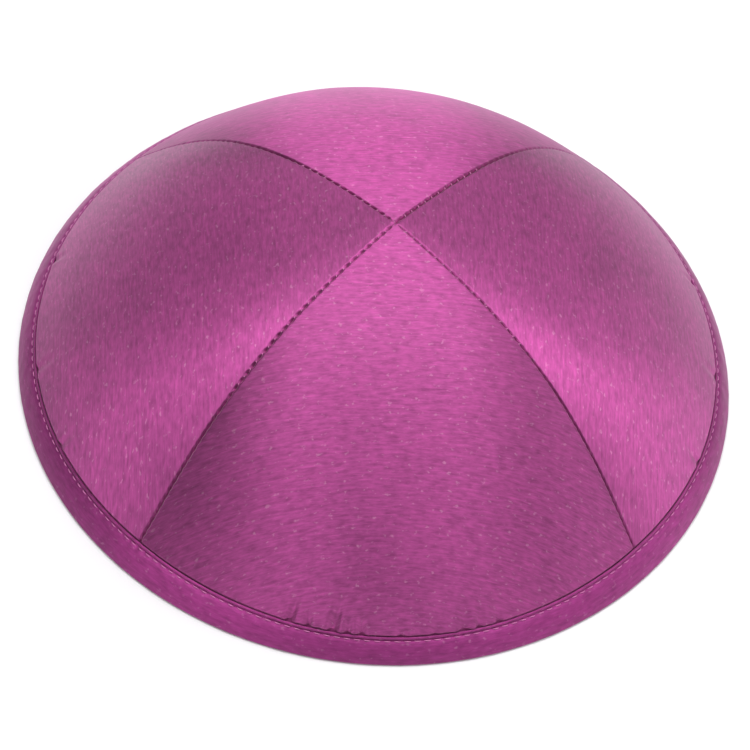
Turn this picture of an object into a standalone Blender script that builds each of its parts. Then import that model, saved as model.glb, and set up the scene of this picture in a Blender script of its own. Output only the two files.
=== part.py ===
# A four-panel satin skullcap: four equal gores sewn together along two crossing
# seams, and a satin band folded over their lower edges.
# Units are metres. Z is up, the origin is the centre of the rim where the cap rests,
# and the front panel looks towards -Y.

import bpy
import bmesh
import math

for old in list(bpy.data.objects):
    bpy.data.objects.remove(old, do_unlink=True)

# Driving sizes of the whole cap.
RIM_RADIUS = 0.0880          # outermost radius, on the folded edge of the band
CROWN_HEIGHT = 0.0564        # from the resting surface to the crossing of the seams
PANEL_WALL = 0.0010          # satin with its backing
CLEARANCE = 0.0003           # left between neighbours that are sewn together

# The band that is folded over the panels' lower edges.
BAND_WIDTH = 0.0081          # along its outer leg, from the fold to the upper edge
BAND_WALL = 0.0010
BAND_LEAN = math.radians(33.0)   # how far the band leans in from upright
BAND_PUFF = 0.00035          # how far the outer leg swells at its middle
BAND_PUFF_START = 0.35       # share of the width where the swelling is full, at both ends
FOLD_RADIUS = 0.0006         # rounding of the folded edge
EDGE_RADIUS = 0.0003         # rounding of the band's upper edges

# The shape of a panel's middle line, from the crown down to the band.
CROWN_PEAK = 0.0080          # height of the shallow cone at the crossing of the seams
CROWN_FULLNESS = 2.75        # power of the curve: a higher value is flatter on top
SEAM_RIDGE = 0.0045          # how far the seams stand out beside the flatter panels
LOW_SWELL = 0.0008           # how far the panels swell out between the seams, low down
TUCK_EASE = 0.0032           # height over which a panel swells out above the band

# Soft gathers just above the band.
GATHER_DEPTH = 0.0008
GATHER_WIDTH = 0.0040
GATHER_REACH = 0.0150        # how far up the panel a gather runs

# Satin colours, linear.
PANEL_COLOUR = (0.40, 0.058, 0.246)
BAND_COLOUR = (0.305, 0.038, 0.202)
SATIN_ROUGHNESS = 0.34

# Mesh steps.
CROWN_ROWS = 9               # from the crown down to where the gathers start
LOW_ROWS = 5                 # from there down to the band
PANEL_COLUMNS = 28           # across a panel, from seam to seam
BAND_STEPS = 88              # round the band
ARC_SAMPLES = 200
MERGE_DISTANCE = 1e-7

# The panels in order round the cap, from the front one.
PANELS = ("front", "right", "back", "left")
HALF_PANEL = math.pi / len(PANELS)
FRONT_TURN = -math.pi / 2

# Gathers: the panel, the place as a share of half the panel from its middle (positive
# is to the right, seen from outside), and the depth and reach as shares of the sizes above.
GATHERS = (
    # panel, place, depth, reach
    ("front", -0.37, 0.6, 0.8),
    ("front", -0.24, 1.0, 1.0),
    ("front", -0.08, 0.8, 0.9),
    ("front", 0.28, 0.7, 0.8),
    ("front", 0.40, 0.5, 0.7),
    ("right", -0.52, 0.6, 0.8),
    ("right", -0.10, 0.5, 0.9),
    ("right", 0.35, 0.7, 0.8),
    ("back", -0.45, 0.6, 0.9),
    ("back", 0.05, 0.7, 0.8),
    ("back", 0.50, 0.5, 0.8),
    ("left", -0.40, 0.6, 0.8),
    ("left", 0.12, 0.5, 0.9),
    ("left", 0.48, 0.6, 0.7),
)

# Worked out from the sizes above.
BAND_THICKNESS = 2 * BAND_WALL + 2 * CLEARANCE + PANEL_WALL
FOLD_LEAN = BAND_LEAN - math.atan(BAND_PUFF / (BAND_PUFF_START * BAND_WIDTH))
FOLD_CORNER = (math.pi / 2 - FOLD_LEAN) / 2          # half the angle at the folded edge
BAND_FOOT = RIM_RADIUS + FOLD_RADIUS * (1 / math.tan(FOLD_CORNER) - 1)
SLOT_FLOOR = (BAND_WALL + (BAND_THICKNESS - BAND_WALL) * math.sin(BAND_LEAN)) / math.cos(BAND_LEAN)
PANEL_INSET = BAND_WALL + CLEARANCE


def band_point(up, out):
    """Radius and height of a point given up the band's slope and out from its outer face."""
    radius = BAND_FOOT - up * math.sin(BAND_LEAN) + out * math.cos(BAND_LEAN)
    height = up * math.cos(BAND_LEAN) + out * math.sin(BAND_LEAN)
    return radius, height


DOME_RADIUS, DOME_FOOT = band_point(BAND_WIDTH, 0.0)
CONE_SHARE = CROWN_PEAK / (CROWN_HEIGHT - DOME_FOOT)


def swell(share):
    """A smooth hump over 0 to 1, with its top of 1 at a third of the way."""
    share = min(max(share, 0.0), 1.0)
    top = 1 / 3 * (2 / 3) ** 2
    return share * (1 - share) ** 2 / top


def smooth_step(share):
    share = min(max(share, 0.0), 1.0)
    return share * share * (3 - 2 * share)


def dome_point(t):
    """Radius and height of the dome's outer face, from the crown at 0 to the band at 1."""
    drop = CONE_SHARE * t + (1 - CONE_SHARE) * t ** CROWN_FULLNESS
    return DOME_RADIUS * t, DOME_FOOT + (CROWN_HEIGHT - DOME_FOOT) * (1 - drop)


def dome_normal(t):
    """Outward direction of the dome's face in its radius and height."""
    fall = CONE_SHARE + (1 - CONE_SHARE) * CROWN_FULLNESS * t ** (CROWN_FULLNESS - 1)
    fall *= CROWN_HEIGHT - DOME_FOOT
    length = math.hypot(DOME_RADIUS, fall)
    return fall / length, DOME_RADIUS / length


def dome_lengths():
    """Distance along the dome from the band up to each of a run of shares."""
    shares = [1 - i / ARC_SAMPLES for i in range(ARC_SAMPLES + 1)]
    points = [dome_point(t) for t in shares]
    lengths = [0.0]
    for a, b in zip(points, points[1:]):
        lengths.append(lengths[-1] + math.dist(a, b))
    return shares, lengths


SHARES, LENGTHS = dome_lengths()


def share_at(length):
    """The dome's share at a distance above the band."""
    for i in range(1, len(LENGTHS)):
        if LENGTHS[i] >= length:
            part = (length - LENGTHS[i - 1]) / (LENGTHS[i] - LENGTHS[i - 1])
            return SHARES[i - 1] + part * (SHARES[i] - SHARES[i - 1])
    return 0.0


def panel_rows():
    """Distances above the band of a panel's rows of points, from the crown down."""
    whole = LENGTHS[-1]
    upper = [whole + (GATHER_REACH - whole) * i / CROWN_ROWS for i in range(CROWN_ROWS)]
    lower = [GATHER_REACH * (1 - i / LOW_ROWS) for i in range(LOW_ROWS)]
    return upper + lower


def panel_profile():
    """A panel's outer face, down to its edge in the band's fold, as rows of radius, height,
    share along the dome and distance above the band."""
    profile = []
    for length in panel_rows():
        t = share_at(length)
        radius, height = dome_point(t)
        out_r, out_z = dome_normal(t)
        inset = PANEL_INSET * (1 - smooth_step(length / TUCK_EASE))
        profile.append((radius - inset * out_r, height - inset * out_z, t, length))
    for up in (BAND_WIDTH + CLEARANCE, SLOT_FLOOR + CLEARANCE):
        radius, height = band_point(up, -PANEL_INSET)
        profile.append((radius, height, 1.0, 0.0))
    return profile


def gather_dent(name, place, length):
    """How far a panel's face is drawn in by its gathers at a place across and up it."""
    dent = 0.0
    for panel, middle, depth, reach in GATHERS:
        if panel == name:
            across = (place - middle) * HALF_PANEL * DOME_RADIUS / (GATHER_WIDTH / 2)
            up = swell(length / (reach * GATHER_REACH))
            dent += depth * GATHER_DEPTH * math.exp(-across * across) * up
    return dent


def shape_panel(mesh, name, profile):
    """Moves a turned quarter onto the panel's real face, with straight gaps beside it."""
    tip_radius = CLEARANCE / 2 / math.sin(HALF_PANEL)
    for vert in mesh.verts:
        row = min(profile, key=lambda row: abs(row[1] - vert.co.z))
        t, length = row[2:]
        radius = math.hypot(vert.co.x, vert.co.y)
        turn = math.atan2(vert.co.y, vert.co.x) if radius > 0 else 0.0
        wave = math.cos(turn * len(PANELS))
        radius += wave * t * (LOW_SWELL * swell(1 - t) - SEAM_RIDGE * swell(t))
        radius -= gather_dent(name, turn / HALF_PANEL, length)
        radius = max(radius, tip_radius)
        turn *= 1 - math.asin(CLEARANCE / 2 / radius) / HALF_PANEL
        vert.co.x = radius * math.cos(turn)
        vert.co.y = radius * math.sin(turn)


def rounded(corners):
    """Points of a closed outline whose corners (radius, height, rounding, steps) are arcs."""
    points = []
    for i, (x, z, rounding, steps) in enumerate(corners):
        before = corners[i - 1]
        after = corners[(i + 1) % len(corners)]
        if steps == 0:
            points.append((x, z))
            continue
        back = math.atan2(before[1] - z, before[0] - x)
        ahead = math.atan2(after[1] - z, after[0] - x)
        half = ((ahead - back + math.pi) % (2 * math.pi) - math.pi) / 2
        middle = back + half
        reach = rounding / math.sin(abs(half))
        centre = (x + reach * math.cos(middle), z + reach * math.sin(middle))
        sweep = math.copysign(math.pi / 2 - abs(half), half)
        for k in range(steps + 1):
            angle = middle + math.pi + sweep - 2 * sweep * k / steps
            points.append((centre[0] + rounding * math.cos(angle), centre[1] + rounding * math.sin(angle)))
    return points


def band_outline():
    """The folded band's section: down the outer leg, under the fold and up the inner leg."""
    inner = -BAND_THICKNESS
    places = (
        # up the slope, out from the face, rounding, steps
        (BAND_WIDTH, 0.0, EDGE_RADIUS, 1),
        (BAND_WIDTH * (1 - BAND_PUFF_START), BAND_PUFF, 0.0, 0),
        (BAND_WIDTH * BAND_PUFF_START, BAND_PUFF, 0.0, 0),
        (0.0, 0.0, FOLD_RADIUS, 2),
        (-inner * math.tan(BAND_LEAN), inner, FOLD_RADIUS, 1),
        (BAND_WIDTH, inner, EDGE_RADIUS, 1),
        (BAND_WIDTH, inner + BAND_WALL, EDGE_RADIUS, 1),
        (SLOT_FLOOR, inner + BAND_WALL, 0.0, 0),
        (SLOT_FLOOR, -BAND_WALL, 0.0, 0),
        (BAND_WIDTH, -BAND_WALL, EDGE_RADIUS, 1),
    )
    return rounded([(*band_point(up, out), rounding, steps) for up, out, rounding, steps in places])


def satin(name, colour):
    material = bpy.data.materials.new(name)
    material.use_nodes = True
    shader = material.node_tree.nodes["Principled BSDF"]
    shader.inputs["Base Color"].default_value = (*colour, 1.0)
    shader.inputs["Roughness"].default_value = SATIN_ROUGHNESS
    shader.inputs["Metallic"].default_value = 0.0
    return material


def new_object(name, mesh, material, parts):
    data = bpy.data.meshes.new(name)
    mesh.to_mesh(data)
    mesh.free()
    data.materials.append(material)
    data.shade_smooth()
    thing = bpy.data.objects.new(name, data)
    parts.objects.link(thing)
    return thing


def make_panel(name, turn, parts):
    profile = panel_profile()
    mesh = bmesh.new()
    start = (math.cos(HALF_PANEL), -math.sin(HALF_PANEL))
    line = [mesh.verts.new((r * start[0], r * start[1], z)) for r, z, t, length in profile]
    edges = [mesh.edges.new(pair) for pair in zip(line, line[1:])]
    bmesh.ops.spin(mesh, geom=line + edges, cent=(0, 0, 0), axis=(0, 0, 1), dvec=(0, 0, 0),
                   angle=2 * HALF_PANEL, steps=PANEL_COLUMNS, use_merge=False,
                   use_normal_flip=False, use_duplicate=False)
    bmesh.ops.remove_doubles(mesh, verts=mesh.verts, dist=MERGE_DISTANCE)
    shape_panel(mesh, name, profile)
    bmesh.ops.recalc_face_normals(mesh, faces=mesh.faces)
    if sum(face.normal.z for face in mesh.faces) < 0:
        bmesh.ops.reverse_faces(mesh, faces=mesh.faces)
    material = satin("satin_" + name, PANEL_COLOUR)
    panel = new_object("panel_" + name, mesh, material, parts)
    panel.rotation_euler = (0, 0, turn)
    wall = panel.modifiers.new("wall", "SOLIDIFY")
    wall.thickness = PANEL_WALL
    wall.offset = -1
    wall.use_even_offset = True
    return panel


def make_band(parts):
    mesh = bmesh.new()
    line = [mesh.verts.new((r, 0, z)) for r, z in band_outline()]
    for a, b in zip(line, line[1:] + line[:1]):
        mesh.edges.new((a, b))
    material = satin("satin_binding", BAND_COLOUR)
    band = new_object("rim_binding", mesh, material, parts)
    turned = band.modifiers.new("turned", "SCREW")
    turned.axis = "Z"
    turned.angle = 2 * math.pi
    turned.steps = BAND_STEPS
    turned.render_steps = BAND_STEPS
    turned.use_merge_vertices = True
    turned.merge_threshold = 0.00001
    return band


def main():
    parts = bpy.data.collections.new("skullcap")
    bpy.context.scene.collection.children.link(parts)
    for i, name in enumerate(PANELS):
        make_panel(name, FRONT_TURN + 2 * HALF_PANEL * i, parts)
    make_band(parts)


main()
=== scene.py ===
import math
from collections import namedtuple

import bmesh
import bpy
from bpy.props import FloatProperty, FloatVectorProperty, IntProperty, PointerProperty
from bpy.types import Operator, Panel, PropertyGroup
from mathutils import Matrix, Vector, noise


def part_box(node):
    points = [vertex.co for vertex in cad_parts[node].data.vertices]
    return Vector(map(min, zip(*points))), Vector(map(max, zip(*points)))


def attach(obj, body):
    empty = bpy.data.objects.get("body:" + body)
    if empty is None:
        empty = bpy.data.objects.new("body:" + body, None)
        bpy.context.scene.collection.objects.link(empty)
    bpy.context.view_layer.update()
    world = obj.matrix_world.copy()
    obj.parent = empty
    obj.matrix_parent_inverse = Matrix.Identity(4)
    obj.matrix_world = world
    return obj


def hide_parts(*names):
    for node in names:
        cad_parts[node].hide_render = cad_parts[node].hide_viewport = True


bl_info = {
    "name": "Satin Skullcap",
    "version": (1, 0, 0),
    "blender": (4, 5, 0),
    "location": "3D View > Sidebar > Skullcap",
    "description": "Sews a four-panel satin skullcap over its solid model and lights it",
    "category": "Add Mesh",
}

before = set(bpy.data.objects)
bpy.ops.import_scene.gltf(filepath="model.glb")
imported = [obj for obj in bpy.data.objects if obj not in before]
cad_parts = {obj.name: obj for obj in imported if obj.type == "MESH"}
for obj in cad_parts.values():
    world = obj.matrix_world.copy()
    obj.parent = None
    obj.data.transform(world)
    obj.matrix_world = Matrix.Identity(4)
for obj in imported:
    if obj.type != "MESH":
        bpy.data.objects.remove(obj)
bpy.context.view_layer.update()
BODY = "root"

# The panels round the cap, in the order of their middles.
PANELS = ("front", "right", "back", "left")
HALF_PANEL = math.pi / len(PANELS)
FRONT_TURN = -math.pi / 2

# The seams, each between the panel of the same place in the list above and the next one.
# Width and depth of the valley are shares of the settings. Clear is how clearly the stitches
# show, reach is how far along the seam they do, and start is where the valley begins.
Seam = namedtuple("Seam", "name width depth clear reach start")
SEAMS = (
    # name, width, depth, clear, reach, start
    Seam("front_right", 0.90, 0.75, 0.55, 0.40, 0.0010),
    Seam("back_right", 1.35, 1.20, 0.35, 0.30, 0.0),
    Seam("back_left", 1.00, 0.90, 0.45, 0.30, 0.0014),
    Seam("front_left", 1.20, 1.15, 0.90, 0.55, 0.0),
)

# Soft gathers above the band. The place is a share of half the panel from its middle, and
# the rest are shares of the sizes in the settings.
Gather = namedtuple("Gather", "panel place depth width reach")
GATHERS = (
    # panel, place, depth, width, reach
    Gather("front", -0.374, 0.90, 0.8, 0.75),
    Gather("front", -0.300, 0.70, 0.7, 0.55),
    Gather("front", -0.217, 1.00, 1.0, 1.00),
    Gather("front", -0.160, 0.75, 0.7, 0.50),
    Gather("front", -0.109, 0.85, 0.8, 0.70),
    Gather("front", 0.030, 0.45, 1.0, 0.50),
    Gather("front", 0.150, 0.40, 0.9, 0.50),
    Gather("front", 0.258, 0.70, 1.3, 0.90),
    Gather("front", 0.314, 0.75, 0.8, 0.70),
    Gather("front", 0.392, 0.60, 0.9, 0.60),
    Gather("right", -0.52, 0.45, 1.0, 0.80),
    Gather("right", -0.10, 0.40, 1.2, 0.90),
    Gather("right", 0.35, 0.55, 0.9, 0.80),
    Gather("back", -0.45, 0.45, 0.9, 0.90),
    Gather("back", 0.05, 0.55, 1.1, 0.80),
    Gather("back", 0.50, 0.40, 1.0, 0.80),
    Gather("left", -0.40, 0.45, 1.0, 0.80),
    Gather("left", 0.12, 0.40, 1.2, 0.90),
    Gather("left", 0.48, 0.45, 0.9, 0.70),
)

# How finely the pieces are divided.
TUCK_ROWS = 5
SLOT_ROWS = 5
SEAM_COLUMNS = 7
STEPS_PER_STITCH = 6
FACE_STEPS = 8
MERGE_DISTANCE = 1e-7

# Beside a seam: the strip that the close columns cover, the valley's opening, a stitch's
# pull, where the cushion over the turned-in edges rises and falls, and over what length it
# comes up from the crown.
SEAM_STRIP = 0.0010
VALLEY_OPENING = 0.0008
PULL_REACH = 0.0009
CUSHION_RISE = 0.0010
CUSHION_FROM = 0.0035
CUSHION_FALL = 0.0035
CUSHION_START = 0.008
CUSHION_END = CUSHION_FROM + CUSHION_FALL

# Above the band: where the rows crowd, as a share of the tuck, how far a panel starts into
# the slot, and over what height its relief and its waves fade out.
TUCK_CROWD = 1.3
SLOT_ENTRY = 0.0004
RELIEF_FADE = 0.0006
WAVE_FADE = 0.004

# The band's section: how far its face and lip stand out, how far down the lip's crest is,
# and half the groove's width at its bottom, above it and below it.
FACE_RISE = 0.00002
LIP_RISE = 0.00006
LIP_DROP = 0.00045
GROOVE_HALF = 0.00012
GROOVE_ABOVE = 0.00030
GROOVE_BELOW = 0.00035
LINING_HALF = 0.0004
LINING_DIP = 0.00004
LINING_SHARE = 0.72
EDGE_SHARE = 0.75
PUFF_POWER = 0.7

# The threads: half a rung's length in the seams and how far its ends go down, then how far
# the band's stitches lie below the groove and stand out, and how far their ends go down.
RUNG_HALF = 0.00050
RUNG_SAG = 0.00025
RUNG_DEPTH = 0.30
STITCH_BELOW = 0.00022
STITCH_OUT = 0.00001
STITCH_SAG = 0.00026
STITCH_SHARE = 0.34
STITCH_SLANT = 0.06
STITCH_FOLLOW = 0.92
TIP_SHARE = 0.999

# The name of the cloth's own map: up the piece, and along its threads.
CLOTH_MAP = "cloth"

# The satin's noises on that map, by name.
NOISES = {
    # scale across and along the threads, detail
    "streak": (1700, 260, 2.0),
    "thread": (4200, 800, 1.0),
    "mottle": (760, 430, 2.0),
    "blotch": (95, 60, 2.0),
    "slub": (1500, 170, 1.0),
    "speck": (900, 620, 2.0),
}

# What each noise adds to the shade, over the range of it that is read.
SHADES = (
    # name, range read, least and most added
    ("streak", 0.25, 0.75, -0.15, 0.15),
    ("thread", 0.25, 0.75, -0.07, 0.07),
    ("mottle", 0.25, 0.75, -0.13, 0.13),
    ("blotch", 0.25, 0.75, -0.07, 0.07),
    ("slub", 0.62, 0.80, 0.0, 0.16),
)
LINT = ("speck", 0.66, 0.80, 0.0, 0.45)
GRAIN = ("blotch", 0.2, 0.8, -0.04, 0.04)

# How strong the streaks and the lint are on the panels and on the band.
PANEL_WEAVE = (1.0, 1.0)
BAND_WEAVE = (0.8, 0.6)

# How much rougher the lint is, and how high the threads and the lint stand in the bump.
LINT_ROUGHNESS = 0.3
THREAD_HEIGHT = 0.4
LINT_HEIGHT = 0.8
BUMP_STRENGTH = 0.20
BUMP_DISTANCE = 0.00006

# Inputs of the shaders, by name.
SATIN_FINISH = {
    "Specular IOR Level": 0.35,
    "Coat Weight": 0.22,
    "Coat Roughness": 0.50,
    "Sheen Weight": 0.25,
    "Sheen Roughness": 0.45,
    "Sheen Tint": (1.0, 0.80, 0.90, 1.0),
}
THREAD_FINISH = {"Roughness": 0.38, "Metallic": 0.25}
FLOOR_FINISH = {"Roughness": 0.9, "Specular IOR Level": 0.1}

# The thread's mottling: its scale, and the darkest and lightest share of its colour.
THREAD_MOTTLE = 2600
THREAD_DARK = 0.75
THREAD_LIGHT = 1.25


class CapSizes(PropertyGroup):
    """Sizes of the cap. The first ones are those of its solid model."""

    rim_radius: FloatProperty(name="Rim radius", description="Outermost radius, on the folded edge",
                              default=0.0880, unit="LENGTH")
    crown_height: FloatProperty(name="Crown height", description="From the floor to the seams' crossing",
                                default=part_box("panel_front")[1].z, unit="LENGTH")
    panel_wall: FloatProperty(name="Panel wall", description="Satin with its backing",
                              default=0.0010, unit="LENGTH")
    clearance: FloatProperty(name="Clearance", description="Between the panels and the band's legs",
                             default=0.0003, unit="LENGTH")
    band_width: FloatProperty(name="Band width", description="From the fold to the upper edge",
                              default=0.0081, unit="LENGTH")
    band_wall: FloatProperty(name="Band wall", description="Thickness of one leg of the band",
                             default=0.0010, unit="LENGTH")
    band_face: FloatProperty(name="Band face", description="Thickness of the outer leg in the slot",
                             default=0.0005, unit="LENGTH")
    band_lean: FloatProperty(name="Band lean", description="Lean of the band, in from upright",
                             default=math.radians(33.0), subtype="ANGLE")
    band_puff: FloatProperty(name="Band puff", description="How far the band's face swells",
                             default=0.00045, unit="LENGTH")
    fold_radius: FloatProperty(name="Fold radius", description="Rounding of the folded edge",
                               default=0.0006, unit="LENGTH")
    edge_radius: FloatProperty(name="Edge radius", description="Rounding of the band's upper edges",
                               default=0.0003, unit="LENGTH")
    crown_peak: FloatProperty(name="Crown peak", description="Height of the shallow cone at the crown",
                              default=0.0080, unit="LENGTH")
    crown_fullness: FloatProperty(name="Crown fullness", description="Power of the dome's curve",
                                  default=2.75)
    seam_ridge: FloatProperty(name="Seam ridge", description="How far the seams stand out",
                              default=0.0045, unit="LENGTH")
    low_swell: FloatProperty(name="Low swell", description="How far the panels swell, low down",
                             default=0.0008, unit="LENGTH")
    tuck_ease: FloatProperty(name="Tuck ease", description="Height over which a panel leaves the band",
                             default=0.0007, unit="LENGTH")
    foot_round: FloatProperty(name="Foot rounding", description="From the fold to its sharp corner",
                              default=0.00036, unit="LENGTH")
    width_wave: FloatProperty(name="Width wave", description="How much wider the band is at the seams",
                              default=0.00064, unit="LENGTH")
    wave_reach: FloatProperty(name="Wave reach", description="How far up the panels follow the band's edge",
                              default=0.0120, unit="LENGTH")


class CapSewing(PropertyGroup):
    """Seams, stitches, gathers and wrinkles."""

    seam_gap: FloatProperty(name="Seam gap", description="Left between two panels in a seam",
                            default=0.00008, unit="LENGTH")
    seam_roll: FloatProperty(name="Seam roll", description="Width of a panel's rolled edge",
                             default=0.00050, unit="LENGTH")
    seam_depth: FloatProperty(name="Seam depth", description="Depth of the valley between two panels",
                              default=0.00050, unit="LENGTH")
    seam_cushion: FloatProperty(name="Seam cushion", description="Rise over the turned-in edges",
                                default=0.00012, unit="LENGTH")
    seam_pitch: FloatProperty(name="Seam stitch", description="Length of a stitch in the seams",
                              default=0.00230, unit="LENGTH")
    seam_pull: FloatProperty(name="Seam pull", description="How far a stitch draws the satin in",
                             default=0.00010, unit="LENGTH")
    band_stitches: IntProperty(name="Band stitches", description="Stitches round the band",
                               default=224, min=8)
    band_pull: FloatProperty(name="Band pull", description="How far a stitch draws the band in",
                             default=0.00014, unit="LENGTH")
    groove_drop: FloatProperty(name="Groove drop", description="From the band's edge to its stitches",
                               default=0.00085, unit="LENGTH")
    groove_depth: FloatProperty(name="Groove depth", description="Depth of the sewn groove",
                                default=0.00030, unit="LENGTH")
    thread_radius: FloatProperty(name="Thread radius", description="Radius of the sewing thread",
                                 default=0.00015, unit="LENGTH")
    gather_depth: FloatProperty(name="Gather depth", description="Depth of the deepest gather",
                                default=0.00085, unit="LENGTH")
    gather_width: FloatProperty(name="Gather width", description="Width of a gather",
                                default=0.00180, unit="LENGTH")
    gather_reach: FloatProperty(name="Gather reach", description="How far a gather runs up",
                                default=0.0110, unit="LENGTH")
    wrinkle_height: FloatProperty(name="Wrinkle height", description="Height of the band's wrinkles",
                                  default=0.00012, unit="LENGTH")
    cloth_wave: FloatProperty(name="Cloth wave", description="Soft unevenness of the panels",
                              default=0.00020, unit="LENGTH")
    panel_columns: IntProperty(name="Panel columns", description="Faces across a panel", default=196)
    panel_rows: IntProperty(name="Panel rows", description="Faces from the crown to the band", default=190)


class SatinLook(PropertyGroup):
    """Colours and gloss of the satin and its thread."""

    panel_colour: FloatVectorProperty(name="Panel colour", description="Colour of the panels' satin",
                                      subtype="COLOR", default=(0.450, 0.075, 0.288))
    band_colour: FloatVectorProperty(name="Band colour", description="Colour of the band's satin",
                                     subtype="COLOR", default=(0.360, 0.044, 0.230))
    # The thread's own magenta, lightened into a painted glint so that the stitches and seam rungs show
    # light.
    thread_and_glint_colour: FloatVectorProperty(name="Thread colour", description="Colour of the sewing thread",
                                       subtype="COLOR", default=(0.60, 0.17, 0.41))
    lint_colour: FloatVectorProperty(name="Lint colour", description="Colour of slubs and lint",
                                     subtype="COLOR", default=(0.80, 0.38, 0.62))
    metallic: FloatProperty(name="Coloured gloss", description="Share of gloss in the satin's colour",
                            default=0.93, min=0, max=1, subtype="FACTOR")
    roughness: FloatProperty(name="Roughness", description="Roughness of the satin",
                             default=0.55, min=0, max=1, subtype="FACTOR")
    anisotropy: FloatProperty(name="Thread gloss", description="How far the gloss follows the threads",
                              default=0.84, min=0, max=1, subtype="FACTOR")


class StageSettings(PropertyGroup):
    """Camera and lights."""

    lens: FloatProperty(name="Lens", description="Focal length in millimetres", default=187.5)
    distance: FloatProperty(name="Distance", description="From the camera to the cap",
                            default=0.968, unit="LENGTH")
    azimuth: FloatProperty(name="Azimuth", description="The camera's turn from the front",
                           default=math.radians(-8.69), subtype="ANGLE")
    elevation: FloatProperty(name="Elevation", description="The camera's height above the horizon",
                             default=math.radians(52.66), subtype="ANGLE")
    roll: FloatProperty(name="Roll", description="Turn about the camera's own axis",
                        default=math.radians(7.93), subtype="ANGLE")
    slide: FloatVectorProperty(name="Slide", description="Sideways and upward move of the camera",
                               size=2, default=(-0.00012, -0.00221), subtype="XYZ", unit="LENGTH")
    world_light: FloatProperty(name="World light", description="Strength of the light from all round",
                               default=0.10)
    floor_colour: FloatVectorProperty(name="Floor colour", description="Colour of the floor",
                                      subtype="COLOR", default=(0.93, 0.935, 0.945))


# The studio's soft lights.
LIGHTS = (
    # name, azimuth and elevation in degrees, distance, width, height, power
    ("overhead_bar", 180.0, 87.0, 1.10, 1.00, 0.35, 6.9),
    ("right_side", 90.0, 32.0, 1.30, 0.60, 0.60, 3.0),
    ("back_top", 180.0, 66.0, 1.20, 0.80, 0.40, 2.0),
    ("back_low", 180.0, 35.0, 1.30, 0.80, 0.60, 2.9),
    ("front_right", 48.0, 50.0, 1.20, 0.75, 0.50, 2.4),
    ("front_left", -52.0, 50.0, 1.20, 0.85, 0.50, 2.9),
    ("back_right", 135.0, 50.0, 1.20, 0.60, 0.50, 1.0),
)


def smooth_step(share):
    """Rises from 0 to 1, with no slope at either end."""
    share = min(max(share, 0.0), 1.0)
    return share * share * (3 - 2 * share)


def swell(share):
    """A smooth hump over 0 to 1, with its top of 1 at a third of the way."""
    share = min(max(share, 0.0), 1.0)
    return share * (1 - share) ** 2 * 27 / 4


class CapForm:
    """The cap's main form, worked out from its sizes."""

    SAMPLES = 400

    def __init__(self, sizes):
        self.sizes = sizes
        self.thickness = 2 * sizes.band_wall + 2 * sizes.clearance + sizes.panel_wall
        lean = sizes.band_lean
        self.foot = sizes.rim_radius + sizes.foot_round
        behind = (self.thickness - sizes.band_wall) * math.sin(lean)
        self.slot_floor = (sizes.band_wall + behind) / math.cos(lean)
        self.inset = sizes.band_face + sizes.clearance
        self.dome_radius, self.dome_foot = self.band_point(sizes.band_width, 0.0)
        self.rise = sizes.crown_height - self.dome_foot
        self.cone_share = sizes.crown_peak / self.rise
        points = [self.dome_point(i / self.SAMPLES) for i in range(self.SAMPLES + 1)]
        self.lengths = [0.0]
        for a, b in zip(points, points[1:]):
            self.lengths.append(self.lengths[-1] + math.dist(a, b))
        self.seam_length = self.lengths[-1]

    def band_point(self, up, out):
        """Radius and height of a point up the band's slope and out from its face."""
        lean = self.sizes.band_lean
        return (self.foot - up * math.sin(lean) + out * math.cos(lean),
                up * math.cos(lean) + out * math.sin(lean))

    def band_place(self, radius, height):
        """The way up the band's slope and out from its face, of a radius and height."""
        lean = self.sizes.band_lean
        radius -= self.foot
        return (height * math.cos(lean) - radius * math.sin(lean),
                height * math.sin(lean) + radius * math.cos(lean))

    def dome_point(self, t):
        """Radius and height of the dome at a share of its radius."""
        drop = self.cone_share * t + (1 - self.cone_share) * t ** self.sizes.crown_fullness
        return self.dome_radius * t, self.dome_foot + self.rise * (1 - drop)

    def dome_normal(self, t):
        """The outward direction of the dome there, as radius and height."""
        power = self.sizes.crown_fullness
        fall = self.rise * (self.cone_share + (1 - self.cone_share) * power * t ** (power - 1))
        length = math.hypot(self.dome_radius, fall)
        return fall / length, self.dome_radius / length

    def share_at(self, length):
        """The dome's share at a distance from the crown."""
        low, high = 0, self.SAMPLES
        while high - low > 1:
            middle = (low + high) // 2
            if self.lengths[middle] <= length:
                low = middle
            else:
                high = middle
        part = (length - self.lengths[low]) / (self.lengths[high] - self.lengths[low])
        return min((low + part) / self.SAMPLES, 1.0)

    def length_at(self, t):
        """The distance from the crown at a share of the dome, going on evenly past its edge."""
        place = max(t, 0.0) * self.SAMPLES
        low = min(int(place), self.SAMPLES - 1)
        return self.lengths[low] + (place - low) * (self.lengths[low + 1] - self.lengths[low])

    def edge_shift(self, turn, share):
        """Radius and height added where the band's edge is off its even line."""
        shift = -self.sizes.width_wave * math.cos(turn * len(PANELS)) * share
        return -shift * math.sin(self.sizes.band_lean), shift * math.cos(self.sizes.band_lean)

    def bulge(self, t, turn):
        """How far the dome's radius differs from a turned one, between and on the seams."""
        wave = math.cos(turn * len(PANELS))
        return wave * t * (self.sizes.low_swell * swell(1 - t) - self.sizes.seam_ridge * swell(t))


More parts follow.
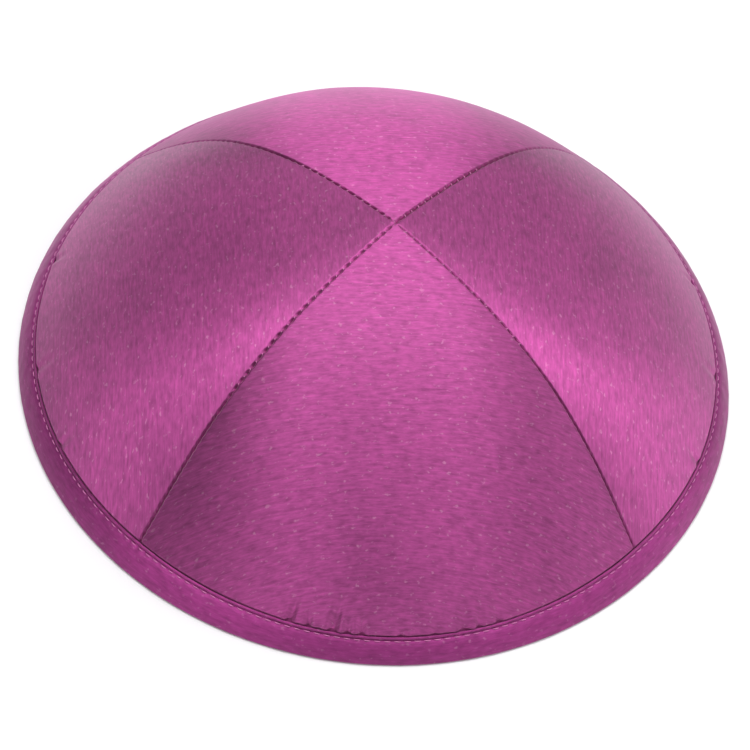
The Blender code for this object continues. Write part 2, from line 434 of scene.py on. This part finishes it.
def seam_bed(sewing, form, seam, away, along):
    """How far a panel's face lies below the dome beside a seam."""
    if away > CUSHION_END:
        return 0.0
    opening = smooth_step((along - seam.start) / VALLEY_OPENING) if seam.start > 0 else 1.0
    clear_loss, clear_fade = 0.7, 0.06
    past_reach = smooth_step((along / form.seam_length - seam.reach) / clear_fade)
    clear = seam.clear * (1 - clear_loss * past_reach)
    beat_middle, beat_swing = 0.62, 0.8
    beat = smooth_step(beat_middle + beat_swing * math.cos(2 * math.pi * along / sewing.seam_pitch))
    patches, next_seam = 260, 7.3
    uneven = 1 + 0.5 * noise.noise(Vector((along * patches, next_seam * seam.width, 0.0)))
    valley = sewing.seam_roll * seam.width * (0.75 + 0.25 * uneven * beat)
    shut = 1 - clear * (1 - beat)
    drop = sewing.seam_depth * seam.depth * shut * smooth_step(1 - away / valley)
    drop += sewing.seam_pull * uneven * beat * math.exp(-away / PULL_REACH)
    fall = smooth_step((away - CUSHION_FROM) / CUSHION_FALL)
    rise = sewing.seam_cushion * smooth_step(away / CUSHION_RISE) * (1 - fall)
    return drop * opening - rise * smooth_step(along / CUSHION_START)


def gather_bed(sewing, form, panel, turn, above):
    """How far a panel's face is drawn in by its gathers, at a height above the band."""
    dent = 0.0
    if above > sewing.gather_reach:
        return dent
    slant, swing = 0.15, 37
    ridge_height, ridge_place, ridge_sharpness = 0.35, 1.9, 1.2
    for gather in GATHERS:
        if gather.panel == panel:
            lean = slant * math.sin(swing * gather.place) * above
            across = (turn - gather.place * HALF_PANEL) * form.dome_radius + lean
            across /= sewing.gather_width * gather.width / 2
            up = smooth_step(1 - above / (gather.reach * sewing.gather_reach))
            ridge = ridge_height * math.exp(-(abs(across) - ridge_place) ** 2 * ridge_sharpness)
            dent += sewing.gather_depth * gather.depth * up * (math.exp(-across * across) - ridge)
    return dent


def cloth_wave(sewing, index, point):
    """Soft unevenness of a panel's face, from broad and fine waves."""
    broad_waves, fine_waves, fine_share = 42, 130, 0.25
    broad = Vector(point) * broad_waves + Vector((11.0 * index, 0.0, 0.0))
    fine = Vector(point) * fine_waves + Vector((0.0, 5.0 * index, 0.0))
    return sewing.cloth_wave * ((1 - fine_share) * noise.noise(broad) + fine_share * noise.noise(fine))


def finish_piece(name, mesh, material, nodes=()):
    """Makes a mesh a shaded piece that rides on the cap."""
    data = bpy.data.meshes.new(name)
    mesh.to_mesh(data)
    mesh.free()
    data.shade_smooth()
    data.materials.append(material)
    piece = bpy.data.objects.new(name, data)
    bpy.context.scene.collection.objects.link(piece)
    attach(piece, BODY)
    if nodes:
        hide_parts(*nodes)
    return piece


def panel_section(form, sewing):
    """A panel's outer face from the crown down into the band, as rows of radius, height,
    share of the dome, distance from the crown and how far it follows the band's edge."""
    sizes = form.sizes
    rows = []
    tuck = TUCK_CROWD * sizes.tuck_ease
    tuck_from = form.seam_length - tuck
    alongs = [tuck_from * i / sewing.panel_rows for i in range(sewing.panel_rows)]
    alongs += [tuck_from + tuck * i / TUCK_ROWS for i in range(TUCK_ROWS + 1)]
    for along in alongs:
        t = form.share_at(along)
        radius, height = form.dome_point(t)
        out_r, out_z = form.dome_normal(t)
        inset = form.inset * (1 - smooth_step((form.seam_length - along) / sizes.tuck_ease))
        follow = 1 - smooth_step((form.seam_length - along) / sizes.wave_reach)
        rows.append((radius - inset * out_r, height - inset * out_z, t, along, follow))
    slot_top = sizes.band_width - SLOT_ENTRY
    slot_low = form.slot_floor + sizes.clearance
    for i in range(1, SLOT_ROWS + 1):
        up = slot_top + (slot_low - slot_top) * i / SLOT_ROWS
        radius, height = form.band_point(up, -form.inset)
        rows.append((radius, height, 1.0, form.seam_length, 1 - i / SLOT_ROWS))
    return rows


def column_turn(share, half_width, columns):
    """A column's turn from its panel's middle. A few columns lie close beside each seam, and
    the others are spread evenly."""
    widest_share = 0.3
    strip = min(SEAM_STRIP, widest_share * half_width)
    place = (1 - abs(share)) * columns / 2
    if place <= SEAM_COLUMNS:
        away = strip * place / SEAM_COLUMNS
    else:
        rest = columns / 2 - SEAM_COLUMNS
        away = strip + (half_width - strip) * (place - SEAM_COLUMNS) / rest
    return math.copysign(1 - away / half_width, share) * HALF_PANEL


def make_panel(index, form, sewing, material):
    """Makes one panel: its rolled, stitched and gathered outer face, and its wall."""
    name = PANELS[index]
    least_radius = 0.0001
    rows = panel_section(form, sewing)
    mesh = bmesh.new()
    bmesh.ops.create_grid(mesh, x_segments=sewing.panel_columns, y_segments=len(rows) - 1, size=1.0)
    relief = mesh.verts.layers.float.new("relief")
    seams = (SEAMS[index - 1], SEAMS[index])
    middle = FRONT_TURN + 2 * HALF_PANEL * index
    for vert in mesh.verts:
        radius, height, t, along, follow = rows[round((1 - vert.co.y) / 2 * (len(rows) - 1))]
        half_width = max(radius, least_radius) * HALF_PANEL
        turn = column_turn(vert.co.x, half_width, sewing.panel_columns)
        shift_r, shift_z = form.edge_shift(turn, follow)
        radius += form.bulge(t, turn) + shift_r
        height += shift_z
        radius = max(radius, sewing.seam_gap / 2 / math.sin(HALF_PANEL))
        turn *= 1 - math.asin(sewing.seam_gap / 2 / radius) / HALF_PANEL
        above = form.seam_length - along
        drop = max(seam_bed(sewing, form, seam, radius * (HALF_PANEL + side * turn), along)
                   for seam, side in zip(seams, (1, -1)))
        drop += gather_bed(sewing, form, name, turn, above)
        spot = (radius * math.cos(turn), radius * math.sin(turn), height)
        wave = cloth_wave(sewing, index, spot) * smooth_step(above / WAVE_FADE)
        vert[relief] = -drop * smooth_step(above / RELIEF_FADE) + wave
        vert.co = (radius * math.cos(turn + middle), radius * math.sin(turn + middle), height)
    bmesh.ops.remove_doubles(mesh, verts=mesh.verts, dist=MERGE_DISTANCE)
    bmesh.ops.recalc_face_normals(mesh, faces=mesh.faces)
    if sum(face.normal.z for face in mesh.faces) < 0:
        bmesh.ops.reverse_faces(mesh, faces=mesh.faces)
    mesh.normal_update()
    outer = [(vert, vert.normal.copy(), vert[relief]) for vert in mesh.verts]
    bmesh.ops.solidify(mesh, geom=mesh.faces[:] + mesh.edges[:] + mesh.verts[:],
                       thickness=form.sizes.panel_wall)
    for vert, normal, height in outer:
        vert.co += normal * height
    lay_threads(mesh, form, middle, index)
    return finish_piece("satin_panel_" + name, mesh, material, ["panel_" + name])


def lay_threads(mesh, form, middle, index):
    """Lays the cloth's own map on a panel, with another part of the cloth for each panel."""
    next_up, next_across = 0.37 * index, 0.21 * index
    layer = mesh.loops.layers.uv.new(CLOTH_MAP)
    for face in mesh.faces:
        for loop in face.loops:
            x, y = loop.vert.co.xy
            up = x * math.cos(middle) + y * math.sin(middle)
            across = y * math.cos(middle) - x * math.sin(middle)
            loop[layer].uv = (form.length_at(up / form.dome_radius) + next_up, across + next_across)


class SKULLCAP_OT_panels(Operator):
    """Sew the four satin panels"""

    bl_idname = "skullcap.panels"
    bl_label = "Panels"

    def execute(self, context):
        form = CapForm(context.scene.cap_sizes)
        sewing = context.scene.cap_sewing
        look = context.scene.satin_look
        material = satin_material("satin_of_panels", look, look.panel_colour, *PANEL_WEAVE)
        for index in range(len(PANELS)):
            panel = make_panel(index, form, sewing, material)
        return {"FINISHED"}


def rounded(corners):
    """Points of a closed outline whose corners (x, y, rounding, steps) are arcs."""
    points = []
    for i, (x, y, rounding, steps) in enumerate(corners):
        before = corners[i - 1]
        after = corners[(i + 1) % len(corners)]
        if steps == 0:
            points.append((x, y))
            continue
        back = math.atan2(before[1] - y, before[0] - x)
        ahead = math.atan2(after[1] - y, after[0] - x)
        half = ((ahead - back + math.pi) % (2 * math.pi) - math.pi) / 2
        middle = back + half
        reach = rounding / math.sin(abs(half))
        centre = (x + reach * math.cos(middle), y + reach * math.sin(middle))
        sweep = math.copysign(math.pi / 2 - abs(half), half)
        for k in range(steps + 1):
            angle = middle + math.pi + sweep - 2 * sweep * k / steps
            points.append((centre[0] + rounding * math.cos(angle),
                           centre[1] + rounding * math.sin(angle)))
    return points


def band_outline(form, sewing):
    """The folded band's section as points up its slope and out from its face: down the
    outer leg, under the fold, up the inner leg and through the slot."""
    sizes = form.sizes
    top = sizes.band_width
    groove = top - sewing.groove_drop
    depth = sewing.groove_depth
    inner = -form.thickness
    slot_back = inner + 2 * sizes.band_wall - sizes.band_face
    bottom = -depth * 0.85
    face = [(top, FACE_RISE, sizes.edge_radius * EDGE_SHARE, 3), (top - LIP_DROP, LIP_RISE, 0.0, 0),
            (groove + GROOVE_ABOVE, -FACE_RISE, 0.0, 0), (groove + GROOVE_HALF, bottom, 0.0, 0),
            (groove - GROOVE_HALF, bottom, 0.0, 0), (groove - GROOVE_BELOW, FACE_RISE, 0.0, 0)]
    for i in range(1, FACE_STEPS):
        up = (groove - GROOVE_BELOW) * (1 - i / FACE_STEPS)
        puff = sizes.band_puff * math.sin(math.pi * i / FACE_STEPS) ** PUFF_POWER
        face.append((up, FACE_RISE + puff, 0.0, 0))
    fold = [(0.0, 0.0, sizes.fold_radius, 4),
            (-inner * math.tan(sizes.band_lean), inner, sizes.fold_radius, 3)]
    lining = [(groove * LINING_SHARE, inner - LINING_DIP, 0.0, 0), (groove - LINING_HALF, inner, 0.0, 0),
              (groove, inner + depth * 0.7, 0.0, 0), (groove + LINING_HALF, inner, 0.0, 0),
              (top, inner, sizes.edge_radius, 2), (top, slot_back, sizes.edge_radius, 2)]
    slot = [(form.slot_floor, slot_back, 0.0, 0), (form.slot_floor, -sizes.band_face, 0.0, 0),
            (top, -sizes.band_face, sizes.edge_radius * EDGE_SHARE, 2)]
    return rounded(face + fold + lining + slot)


def shape_band(vert, form, sewing):
    """Draws the turned band in at its stitches, wrinkles it and varies its width."""
    radius = math.hypot(vert.co.x, vert.co.y)
    turn = math.atan2(vert.co.y, vert.co.x)
    up, out = form.band_place(radius, vert.co.z)
    sizes = form.sizes
    groove = sizes.band_width - sewing.groove_drop
    beat = 0.5 + 0.5 * math.cos(turn * sewing.band_stitches)
    around = Vector((math.cos(turn), math.sin(turn), 0.0)) * form.dome_radius
    patches, wave_patches = 160, 75
    uneven = 0.6 + 0.8 * noise.noise(around * patches)
    face = smooth_step((out + sizes.band_wall * 0.9) / (sizes.band_wall * 0.4))
    away = abs(up - groove)
    pull_reach, foot_fade, groove_fade = 0.0008, 0.0015, 0.0008
    pull = sewing.band_pull * uneven * beat * math.exp(-away / pull_reach)
    skew = around * 330 + Vector((0.0, 0.0, up * 420))
    swirl = noise.noise(skew + Vector((up * 300, -up * 260, 0.0)))
    wrinkle = sewing.wrinkle_height * swirl * smooth_step(up / foot_fade)
    wrinkle *= smooth_step((groove - up) / groove_fade)
    out += face * (wrinkle - pull)
    high = smooth_step((up - form.slot_floor) / (sizes.band_width - form.slot_floor))
    edge_stray = 0.00010
    stray = edge_stray * noise.noise(around * wave_patches + Vector((3.0, 0.0, 0.0)))
    radius, height = form.band_point(up + high * face * stray, out)
    shift_r, shift_z = form.edge_shift(turn - FRONT_TURN, high)
    radius += shift_r
    height += shift_z
    vert.co = (radius * math.cos(turn), radius * math.sin(turn), max(height, 0.0))


class SKULLCAP_OT_binding(Operator):
    """Fold the satin band over the panels' lower edges"""

    bl_idname = "skullcap.binding"
    bl_label = "Rim binding"

    def execute(self, context):
        sizes = context.scene.cap_sizes
        form = CapForm(sizes)
        sewing = context.scene.cap_sewing
        look = context.scene.satin_look
        outline = [form.band_point(up, out) for up, out in band_outline(form, sewing)]
        mesh = bmesh.new()
        line = [mesh.verts.new((radius, 0.0, height)) for radius, height in outline]
        edges = [mesh.edges.new(pair) for pair in zip(line, line[1:] + line[:1])]
        bmesh.ops.spin(mesh, geom=line + edges, cent=(0, 0, 0), axis=(0, 0, 1), dvec=(0, 0, 0),
                       angle=2 * math.pi, steps=sewing.band_stitches * STEPS_PER_STITCH,
                       use_merge=True, use_normal_flip=False, use_duplicate=False)
        bmesh.ops.remove_doubles(mesh, verts=mesh.verts, dist=MERGE_DISTANCE)
        bmesh.ops.recalc_face_normals(mesh, faces=mesh.faces)
        layer = mesh.loops.layers.uv.new(CLOTH_MAP)
        for face in mesh.faces:
            turns = [math.atan2(loop.vert.co.y, loop.vert.co.x) for loop in face.loops]
            wrap = 2 * math.pi if max(turns) - min(turns) > math.pi else 0.0
            for loop, turn in zip(face.loops, turns):
                radius = math.hypot(loop.vert.co.x, loop.vert.co.y)
                up, out = form.band_place(radius, loop.vert.co.z)
                turn = turn + wrap if turn < 0 else turn
                loop[layer].uv = (up - 0.7 * out, turn * form.dome_radius)
        for vert in mesh.verts:
            shape_band(vert, form, sewing)
        material = satin_material("satin_of_band", look, look.band_colour, *BAND_WEAVE)
        band = finish_piece("satin_binding", mesh, material, ["rim_binding"])
        return {"FINISHED"}


def add_stitch(mesh, place, along, across, normal, half_length, radius, sag):
    """Adds one stitch: a short thread whose ends go down into the cloth."""
    turn = Matrix((along, across, normal)).transposed().to_4x4()
    made = bmesh.ops.create_uvsphere(mesh, u_segments=6, v_segments=8, radius=1.0,
                                     matrix=Matrix.Rotation(math.pi / 2, 4, "Y"))
    for vert in made["verts"]:
        share = vert.co.x
        fullness = 0
        if abs(share) < TIP_SHARE:
            fullness = (1 - share * share) ** 0.25 / math.sqrt(1 - share * share)
        vert.co = (share * half_length, vert.co.y * radius * fullness,
                   vert.co.z * radius * fullness - sag * share ** 4)
        vert.co = turn @ vert.co + place


def add_cloth_map(mesh):
    """Gives threads the same map as the satin, left empty."""
    mesh.loops.layers.uv.new(CLOTH_MAP)


class SKULLCAP_OT_seam_stitches(Operator):
    """Lay the short threads that show between the dashes of the seams"""

    bl_idname = "skullcap.seam_stitches"
    bl_label = "Seam stitches"

    def execute(self, context):
        form = CapForm(context.scene.cap_sizes)
        sewing = context.scene.cap_sewing
        mesh = bmesh.new()
        slant_middle, slant_swing, slant_patches = 0.55, 0.25, 900
        for index, seam in enumerate(SEAMS):
            turn = FRONT_TURN + 2 * HALF_PANEL * index + HALF_PANEL
            out = Vector((math.cos(turn), math.sin(turn), 0.0))
            across = Vector((-math.sin(turn), math.cos(turn), 0.0))
            for k in range(1, int(form.seam_length / sewing.seam_pitch)):
                along = (k + 0.5) * sewing.seam_pitch
                if along / form.seam_length > seam.reach:
                    break
                t = form.share_at(along)
                radius, height = form.dome_point(t)
                radius += form.bulge(t, HALF_PANEL)
                out_r, out_z = form.dome_normal(t)
                normal = out * out_r + Vector((0, 0, out_z))
                down = across.cross(normal)
                spot = Vector((along * slant_patches, index, 0))
                slant = slant_middle + slant_swing * noise.noise(spot)
                thread = (across + down * slant).normalized()
                place = out * radius + Vector((0, 0, height))
                place -= normal * sewing.seam_depth * RUNG_DEPTH
                add_stitch(mesh, place, thread, normal.cross(thread), normal,
                           RUNG_HALF, sewing.thread_radius, RUNG_SAG)
        add_cloth_map(mesh)
        finish_piece("seam_stitches", mesh, thread_material(context.scene.satin_look))
        return {"FINISHED"}


class SKULLCAP_OT_band_stitches(Operator):
    """Sew the row of stitches in the band's groove"""

    bl_idname = "skullcap.band_stitches"
    bl_label = "Band stitches"

    def execute(self, context):
        sizes = context.scene.cap_sizes
        form = CapForm(sizes)
        sewing = context.scene.cap_sewing
        mesh = bmesh.new()
        row = sizes.band_width - sewing.groove_drop - STITCH_BELOW
        radius, height = form.band_point(row, STITCH_OUT)
        step = 2 * math.pi / sewing.band_stitches
        for k in range(sewing.band_stitches):
            turn = (k + 0.5) * step
            out = Vector((math.cos(turn), math.sin(turn), 0.0))
            along = Vector((-math.sin(turn), math.cos(turn), 0.0))
            normal = out * math.cos(sizes.band_lean) + Vector((0, 0, math.sin(sizes.band_lean)))
            along = (along + STITCH_SLANT * along.cross(normal)).normalized()
            shift_r, shift_z = form.edge_shift(turn - FRONT_TURN, STITCH_FOLLOW)
            place = out * (radius + shift_r) + Vector((0, 0, height + shift_z))
            add_stitch(mesh, place, along, normal.cross(along), normal,
                       step * radius * STITCH_SHARE, sewing.thread_radius, STITCH_SAG)
        add_cloth_map(mesh)
        finish_piece("band_stitches", mesh, thread_material(context.scene.satin_look))
        return {"FINISHED"}


def node(tree, kind, place, **settings):
    """Adds a node at a place in the editor."""
    made = tree.nodes.new(kind)
    made.location = place
    for name, value in settings.items():
        setattr(made, name, value)
    return made


def set_inputs(shader, values):
    """Sets a shader's inputs by name."""
    for label, value in values.items():
        shader.inputs[label].default_value = value


def weave_group():
    """A shader node group: the satin's slubs, streaks, lint and weave, on the cloth's map."""
    name = "Satin weave"
    if name in bpy.data.node_groups:
        return bpy.data.node_groups[name]
    tree = bpy.data.node_groups.new(name, "ShaderNodeTree")
    for label, kind in (("Cloth", "NodeSocketVector"), ("Colour", "NodeSocketColor"),
                        ("Lint colour", "NodeSocketColor"), ("Streaks", "NodeSocketFloat"),
                        ("Lint", "NodeSocketFloat"), ("Roughness", "NodeSocketFloat")):
        tree.interface.new_socket(name=label, in_out="INPUT", socket_type=kind)
    for label, kind in (("Colour", "NodeSocketColor"), ("Roughness", "NodeSocketFloat"),
                        ("Height", "NodeSocketFloat")):
        tree.interface.new_socket(name=label, in_out="OUTPUT", socket_type=kind)
    enter = node(tree, "NodeGroupInput", (-1400, 0))
    leave = node(tree, "NodeGroupOutput", (900, 0))

    def stretched_noise(up_scale, along_scale, detail, y):
        """Noise stretched along the threads, from its scales across and along them."""
        mapping = node(tree, "ShaderNodeMapping", (-1150, y))
        mapping.inputs["Scale"].default_value = (up_scale, along_scale, 1.0)
        tree.links.new(enter.outputs["Cloth"], mapping.inputs["Vector"])
        texture = node(tree, "ShaderNodeTexNoise", (-950, y), noise_dimensions="2D")
        texture.inputs["Scale"].default_value = 1.0
        texture.inputs["Detail"].default_value = detail
        tree.links.new(mapping.outputs["Vector"], texture.inputs["Vector"])
        return texture.outputs["Factor"] if "Factor" in texture.outputs else texture.outputs["Fac"]

    def added(row, place):
        """What a noise adds, over the range of it that is read."""
        label, low, high, least, most = row
        change = node(tree, "ShaderNodeMapRange", place)
        set_inputs(change, {"From Min": low, "From Max": high, "To Min": least, "To Max": most})
        tree.links.new(noises[label], change.inputs["Value"])
        return change.outputs["Result"]

    def combine(operation, a, b, place):
        """Adds or multiplies two numbers or outputs."""
        change = node(tree, "ShaderNodeMath", place, operation=operation)
        for socket, value in zip(change.inputs, (a, b)):
            if isinstance(value, (int, float)):
                socket.default_value = value
            else:
                tree.links.new(value, socket)
        return change.outputs["Value"]

    noises = {}
    for row, (label, scales) in enumerate(NOISES.items()):
        noises[label] = stretched_noise(*scales, 850 - 250 * row)
    shade = added(SHADES[0], (-700, 600))
    for row, entry in enumerate(SHADES[1:]):
        shade = combine("ADD", shade, added(entry, (-700, 400 - 200 * row)), (150 * row - 500, 500))
    shade = combine("MULTIPLY", shade, enter.outputs["Streaks"], (100, 300))
    shade = combine("ADD", shade, 1.0, (200, 300))
    tinted = node(tree, "ShaderNodeVectorMath", (300, 250), operation="SCALE")
    tree.links.new(enter.outputs["Colour"], tinted.inputs[0])
    tree.links.new(shade, tinted.inputs["Scale"])

    lint = added(LINT, (-700, -450))
    lint = combine("MULTIPLY", lint, enter.outputs["Lint"], (50, -350))
    mixed = node(tree, "ShaderNodeMix", (550, 150), data_type="RGBA")
    tree.links.new(lint, mixed.inputs["Factor"])
    tree.links.new(tinted.outputs["Vector"], mixed.inputs["A"])
    tree.links.new(enter.outputs["Lint colour"], mixed.inputs["B"])
    tree.links.new(mixed.outputs["Result"], leave.inputs["Colour"])

    rough = added(GRAIN, (-500, -100))
    rough = combine("ADD", rough, enter.outputs["Roughness"], (-300, -100))
    rough = combine("ADD", rough, combine("MULTIPLY", lint, LINT_ROUGHNESS, (250, -350)), (400, -200))
    tree.links.new(rough, leave.inputs["Roughness"])
    height = combine("MULTIPLY", noises["thread"], THREAD_HEIGHT, (0, -200))
    height = combine("ADD", noises["streak"], height, (200, -150))
    height = combine("ADD", height, combine("MULTIPLY", lint, LINT_HEIGHT, (350, -450)), (550, -250))
    tree.links.new(height, leave.inputs["Height"])
    return tree


def satin_material(name, look, colour, streaks, lint):
    """Satin whose gloss follows its threads, with its weave in one colour."""
    material = bpy.data.materials.new(name)
    material.use_nodes = True
    tree = material.node_tree
    shader = tree.nodes["Principled BSDF"]
    shader.inputs["Metallic"].default_value = look.metallic
    shader.inputs["Anisotropic"].default_value = look.anisotropy
    set_inputs(shader, SATIN_FINISH)
    cloth = node(tree, "ShaderNodeUVMap", (-900, 0), uv_map=CLOTH_MAP)
    weave = node(tree, "ShaderNodeGroup", (-650, 0), node_tree=weave_group())
    set_inputs(weave, {"Colour": (*colour, 1.0), "Lint colour": (*look.lint_colour, 1.0),
                       "Streaks": streaks, "Lint": lint, "Roughness": look.roughness})
    bump = node(tree, "ShaderNodeBump", (-350, -250))
    set_inputs(bump, {"Strength": BUMP_STRENGTH, "Distance": BUMP_DISTANCE})
    tangent = node(tree, "ShaderNodeTangent", (-350, -450), direction_type="UV_MAP", uv_map=CLOTH_MAP)
    tree.links.new(cloth.outputs["UV"], weave.inputs["Cloth"])
    tree.links.new(weave.outputs["Colour"], shader.inputs["Base Color"])
    tree.links.new(weave.outputs["Roughness"], shader.inputs["Roughness"])
    tree.links.new(weave.outputs["Height"], bump.inputs["Height"])
    tree.links.new(bump.outputs["Normal"], shader.inputs["Normal"])
    tree.links.new(tangent.outputs["Tangent"], shader.inputs["Tangent"])
    return material


def thread_material(look):
    """The sewing thread, slightly mottled. Its colour is the satin's magenta lightened into a painted
    glint, so that the stitches show as light dashes.
    """
    name = "sewing_thread_painted_glint"
    if name in bpy.data.materials:
        return bpy.data.materials[name]
    material = bpy.data.materials.new(name)
    material.use_nodes = True
    tree = material.node_tree
    shader = tree.nodes["Principled BSDF"]
    place = node(tree, "ShaderNodeTexCoord", (-900, 0))
    texture = node(tree, "ShaderNodeTexNoise", (-700, 0))
    texture.inputs["Scale"].default_value = THREAD_MOTTLE
    ramp = node(tree, "ShaderNodeMix", (-450, 0), data_type="RGBA")
    ramp.inputs["A"].default_value = (*[c * THREAD_DARK for c in look.thread_and_glint_colour], 1.0)
    ramp.inputs["B"].default_value = (*[min(c * THREAD_LIGHT, 1.0) for c in look.thread_and_glint_colour], 1.0)
    tree.links.new(place.outputs["Object"], texture.inputs["Vector"])
    tree.links.new(texture.outputs[0], ramp.inputs["Factor"])
    tree.links.new(ramp.outputs["Result"], shader.inputs["Base Color"])
    set_inputs(shader, THREAD_FINISH)
    return material


class SKULLCAP_OT_stage(Operator):
    """Set the floor, the lights and the camera"""

    bl_idname = "skullcap.stage"
    bl_label = "Stage"

    def execute(self, context):
        stage = context.scene.stage_settings
        make_floor(stage)
        for row in LIGHTS:
            make_light(*row)
        make_world(stage)
        make_camera(stage)
        context.scene.view_settings.view_transform = "Standard"
        return {"FINISHED"}


def make_floor(stage):
    mesh = bmesh.new()
    bmesh.ops.create_grid(mesh, x_segments=4, y_segments=4, size=3.0)
    data = bpy.data.meshes.new("floor")
    mesh.to_mesh(data)
    mesh.free()
    floor = bpy.data.objects.new("floor", data)
    bpy.context.scene.collection.objects.link(floor)
    material = bpy.data.materials.new("floor")
    material.use_nodes = True
    shader = material.node_tree.nodes["Principled BSDF"]
    shader.inputs["Base Color"].default_value = (*stage.floor_colour, 1.0)
    set_inputs(shader, FLOOR_FINISH)
    data.materials.append(material)


def direction(azimuth, elevation):
    """From the cap towards a place round it; azimuth 0 is in front of it."""
    return Vector((math.sin(azimuth) * math.cos(elevation), -math.cos(azimuth) * math.cos(elevation),
                   math.sin(elevation)))


def make_light(name, azimuth, elevation, distance, width, height, power):
    data = bpy.data.lights.new(name, "AREA")
    data.shape = "RECTANGLE"
    data.size = width
    data.size_y = height
    data.energy = power
    light = bpy.data.objects.new(name, data)
    towards = direction(math.radians(azimuth), math.radians(elevation))
    light.location = towards * distance
    light.rotation_mode = "QUATERNION"
    light.rotation_quaternion = towards.to_track_quat("Z", "Y")
    bpy.context.scene.collection.objects.link(light)


def make_world(stage):
    world = bpy.data.worlds.new("studio")
    world.use_nodes = True
    background = world.node_tree.nodes["Background"]
    background.inputs["Color"].default_value = (1.0, 1.0, 1.0, 1.0)
    background.inputs["Strength"].default_value = stage.world_light
    bpy.context.scene.world = world


def make_camera(stage):
    data = bpy.data.cameras.new("camera")
    data.lens = stage.lens
    data.sensor_width = 36.0
    data.clip_start = 0.01
    camera = bpy.data.objects.new("camera", data)
    towards = direction(stage.azimuth, stage.elevation)
    look = towards.to_track_quat("Z", "Y").to_matrix().to_4x4()
    turned = look @ Matrix.Rotation(stage.roll, 4, "Z")
    camera.matrix_world = turned @ Matrix.Translation((*stage.slide, stage.distance))
    bpy.context.scene.collection.objects.link(camera)
    bpy.context.scene.camera = camera


class SKULLCAP_PT_sewing(Panel):
    """Lists the steps that sew the cap"""

    bl_label = "Skullcap"
    bl_idname = "SKULLCAP_PT_sewing"
    bl_space_type = "VIEW_3D"
    bl_region_type = "UI"
    bl_category = "Skullcap"

    def draw(self, context):
        for step in STEPS:
            self.layout.operator(step.bl_idname)


GROUPS = (("cap_sizes", CapSizes), ("cap_sewing", CapSewing), ("satin_look", SatinLook),
          ("stage_settings", StageSettings))
STEPS = (SKULLCAP_OT_panels, SKULLCAP_OT_binding, SKULLCAP_OT_seam_stitches,
         SKULLCAP_OT_band_stitches, SKULLCAP_OT_stage)


def register():
    for name, group in GROUPS:
        bpy.utils.register_class(group)
        setattr(bpy.types.Scene, name, PointerProperty(type=group))
    for step in STEPS:
        bpy.utils.register_class(step)
    bpy.utils.register_class(SKULLCAP_PT_sewing)


def unregister():
    bpy.utils.unregister_class(SKULLCAP_PT_sewing)
    for step in reversed(STEPS):
        bpy.utils.unregister_class(step)
    for name, group in reversed(GROUPS):
        delattr(bpy.types.Scene, name)
        bpy.utils.unregister_class(group)


def main():
    register()
    bpy.ops.skullcap.panels()
    bpy.ops.skullcap.binding()
    bpy.ops.skullcap.seam_stitches()
    bpy.ops.skullcap.band_stitches()
    bpy.ops.skullcap.stage()


if __name__ == "__main__":
    main()
